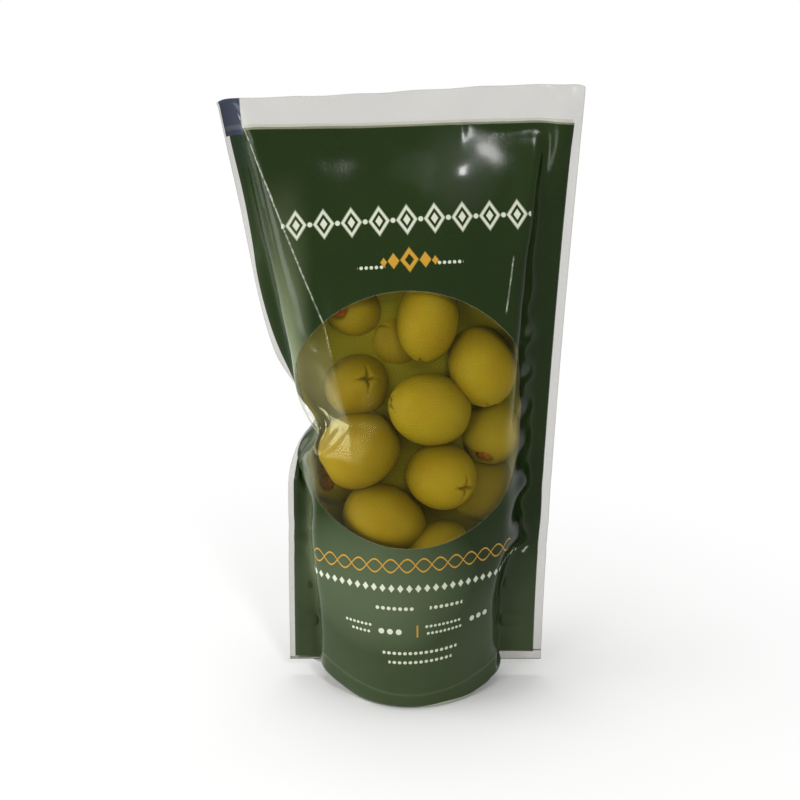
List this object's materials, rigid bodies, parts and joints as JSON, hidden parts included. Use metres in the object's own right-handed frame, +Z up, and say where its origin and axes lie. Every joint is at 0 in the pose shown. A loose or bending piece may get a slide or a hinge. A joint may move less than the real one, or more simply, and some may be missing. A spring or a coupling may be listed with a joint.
{
  "type": "stand-up pouch of stuffed olives",
  "caption": "Shut stand-up pouch of printed clear film, filled with stuffed green olives in brine, standing on its folded foot; its left weld is pinched in.",
  "frame": {"origin": "on the floor, under the middle of the pouch's width and depth", "axes": "+Z up, the front panel with the round clear window faces -Y, the pinched side weld is at -X"},
  "size_m": [0.12, 0.0552, 0.209],
  "materials": {
    "printed_film": "glossy clear film, printed dark green except for clear margins and a round clear window",
    "olives": "wet waxy olive skin",
    "pimiento": "wet red pepper paste",
    "brine": "cloudy yellow-green brine"
  },
  "bodies": {
    "root": {"pouch": "printed_film"}
  },
  "joints": []
}
